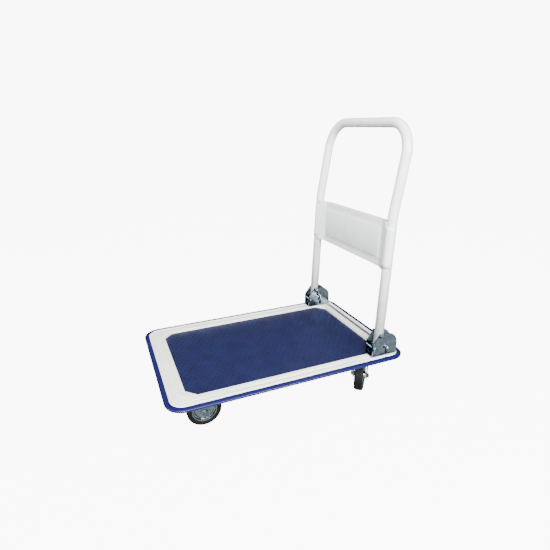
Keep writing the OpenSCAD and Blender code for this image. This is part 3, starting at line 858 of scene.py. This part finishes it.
def wheel_set(name, body, wheel_body, flip):
    """Axle bolt and nut on the fork, and the wheel that turns on them: sleeve, pressed rim and tyre."""
    spot = joint_at[f"{name}_spin"]
    across = joint_axis[f"{name}_spin"] * flip
    place = at(*spot, across)

    def out_from(height, way=1):
        return place @ Matrix.Translation((0, 0, height)) @ (turned_to((0, 0, -1)) if way < 0 else Matrix())

    bm = bmesh.new()
    shaft(bm, AXLE_R, 2 * LEG_IN, out_from(-LEG_IN))
    screw(bm, BOLT_R, 8, out_from(-LEG_OUT, -1))
    shaft(bm, BOLT_R, 6, out_from(LEG_OUT))
    hexagon(bm, 13, 6.5, out_from(-LEG_OUT, -1))
    hexagon(bm, 13, 5.5, out_from(LEG_OUT), 4.8)
    piece(f"{name}_axle_bolt", bm, body, f"{name}_axle", BOLTS)

    bm = bmesh.new()
    turned(bm, [(6.1, -18), (8.4, -18), (9, -17.4), (9, 17.4), (8.4, 18), (6.1, 18)], place)
    piece(f"{name}_hub_sleeve", bm, wheel_body, f"{name}_bush", NYLON)

    # one side of the rim, from the hub out to the seat of the tyre: hub, dished disc, channel and bright lip
    face = [(9.05, 16.6), (9.5, 17), (11.2, 17), (11.8, 16.4), (12.3, 12.6), (13.2, 11.4), (15, 11.0),
            (21, 10.6), (25.4, 10.0), (26.9, 9.2), (27.8, 7.9), (28.4, 6.4), (29.2, 5.9), (31.0, 5.9),
            (31.9, 6.5), (32.4, 8.2), (32.8, 10.6), (33.6, 11.7), (34.8, 12.1), (36.2, 12.0), (36.9, 11.4)]
    bm = bmesh.new()
    turned(bm, face + [(r, -h) for r, h in reversed(face)], place, 64)
    piece(f"{name}_pressed_rim", bm, wheel_body, f"{name}_rim", RIMS)

    # one half of the tyre: bead, sidewall with its step, shoulder, and the tread with its grooves
    tread_r, half_w = tyre_high.z - spot.z, 13.0
    half = [(36.95, 11.2), (37.4, 12.2), (38.4, 12.7), (40.6, 12.9), (41.2, 12.5), (42.0, 12.5),
            (42.6, 13.0), (tread_r - 4.2, half_w)]
    half += [(tread_r - 4.3 + 4.1 * math.sin(a), half_w - 4.1 + 4.1 * math.cos(a))
             for a in (math.radians(18 * k) for k in range(1, 6))]
    half += [(tread_r - 0.1, 6.2), (tread_r - 0.6, 5.9), (tread_r - 0.6, 5.3), (tread_r - 0.05, 5.0),
             (tread_r, 0.5), (tread_r - 0.5, 0.25)]
    bm = bmesh.new()
    turned(bm, half + [(r, -h) for r, h in reversed(half)], place, 72)
    piece(f"{name}_solid_tyre", bm, wheel_body, f"{name}_tyre", RUBBER, 30)


def caster_screws():
    """Four bolts and nuts through each caster plate and the stiffener above it."""
    bm = bmesh.new()
    for name in SPOTS:
        spot = joint_at[name]
        for dx in (-BOLT_DX, BOLT_DX):
            for dy in (-BOLT_DY, BOLT_DY):
                x, y = spot.x + dx, spot.y + dy
                shaft(bm, 4, 9.9, at(x, y, plate_high.z - 2.4), 0.6, 16)
                hexagon(bm, 13, 5, at(x, y, plate_high.z - LEG_T, (0, 0, -1)), 4.8)
                hexagon(bm, 13, 5, at(x, y, plate_high.z + SHEET))
    piece("caster_screws", bm, "platform", "caster_bolts", BOLTS)


# ---- the object ----

pressed_deck()
vinyl_mat()
bumper_strip()
for side in SIDES:
    frame["nodes"][f"channel_{side}"].data.materials[0] = ENAMEL
    bracket_piece(side)
    release_spring(side)
    front_fork(side)
    swivel_caster(side)
    wheel_set(f"front_{side}", "platform", f"front_{side}_wheel", SIDES[side])
    wheel_set(f"rear_{side}", f"rear_{side}_swivel", f"rear_{side}_wheel", 1)
bracket_fixings()
release_bar()
bent_handle()
pressed_panel()
caster_screws()


# ---- studio ----

def studio():
    """White paper floor, a soft sky that darkens towards the horizon, and four soft boxes."""
    bm = bmesh.new()
    bmesh.ops.create_circle(bm, cap_ends=True, segments=64, radius=12 / MM)
    floor = bpy.data.objects.new("studio_floor", finish_mesh("studio_floor", bm, 30))
    bpy.context.scene.collection.objects.link(floor)
    floor.data.materials.append(studio_floor())

    world = bpy.data.worlds.new("studio_sky")
    bpy.context.scene.world = world
    world.use_nodes = True
    tree = world.node_tree
    tree.nodes.clear()
    up = add(tree, "SeparateXYZ", {0: add(tree, "TexCoord").outputs["Generated"]}).outputs["Z"]
    height = add(tree, "MapRange", {"Value": up, "From Min": -0.05, "From Max": 0.75}).outputs["Result"]
    sky = blend_colours(tree, height, 0.0, 1.0, "#4c5258", "#eeeeee")
    seen = add(tree, "LightPath").outputs["Is Camera Ray"]
    lit = add(tree, "Background", {"Color": sky, "Strength": 0.4}).outputs[0]
    backdrop = add(tree, "Background", {"Color": linear("#ffffff"), "Strength": 9.0}).outputs[0]
    mixed = add(tree, "MixShader", {0: seen, 1: lit, 2: backdrop}).outputs[0]
    add(tree, "OutputWorld", {"Surface": mixed})

    for name, spot, size, power in (("key_box", (-1.0, -2.3, 2.2), 1.7, 400),
                                    ("side_box", (-2.4, 0.2, 1.7), 1.4, 40),
                                    ("glint_box", (0.7, -2.3, 1.4), 0.5, 110),
                                    ("top_box", (0.2, -0.1, 3.0), 1.6, 30)):
        lamp = bpy.data.lights.new(name, "AREA")
        lamp.energy = power
        lamp.size = size
        box = bpy.data.objects.new(name, lamp)
        box.matrix_world = Matrix.Translation(spot) @ turned_to(Vector(spot) - Vector((0, 0, 0.3)))
        bpy.context.scene.collection.objects.link(box)


def camera():
    """Camera 0.8 m up, off the free end of the cart's left side, looking across the deck and down."""
    right = Vector((0.9235, -0.3835, 0.0))
    forward = Vector((0.3640, 0.8766, -0.3146))
    up = right.cross(forward)
    roll = math.radians(-0.42)
    side = right * math.cos(roll) + up * math.sin(roll)
    above = up * math.cos(roll) - right * math.sin(roll)
    data = bpy.data.cameras.new("studio_camera")
    data.lens, data.sensor_width = 27.74, 36
    data.shift_x, data.shift_y = 0.0061, -0.0184
    made = bpy.data.objects.new("studio_camera", data)
    rotation = Matrix((side, above, -forward)).transposed().to_4x4()
    made.matrix_world = Matrix.Translation((-0.45168, -1.12347, 0.8051)) @ rotation
    bpy.context.scene.collection.objects.link(made)
    bpy.context.scene.camera = made


studio()
camera()
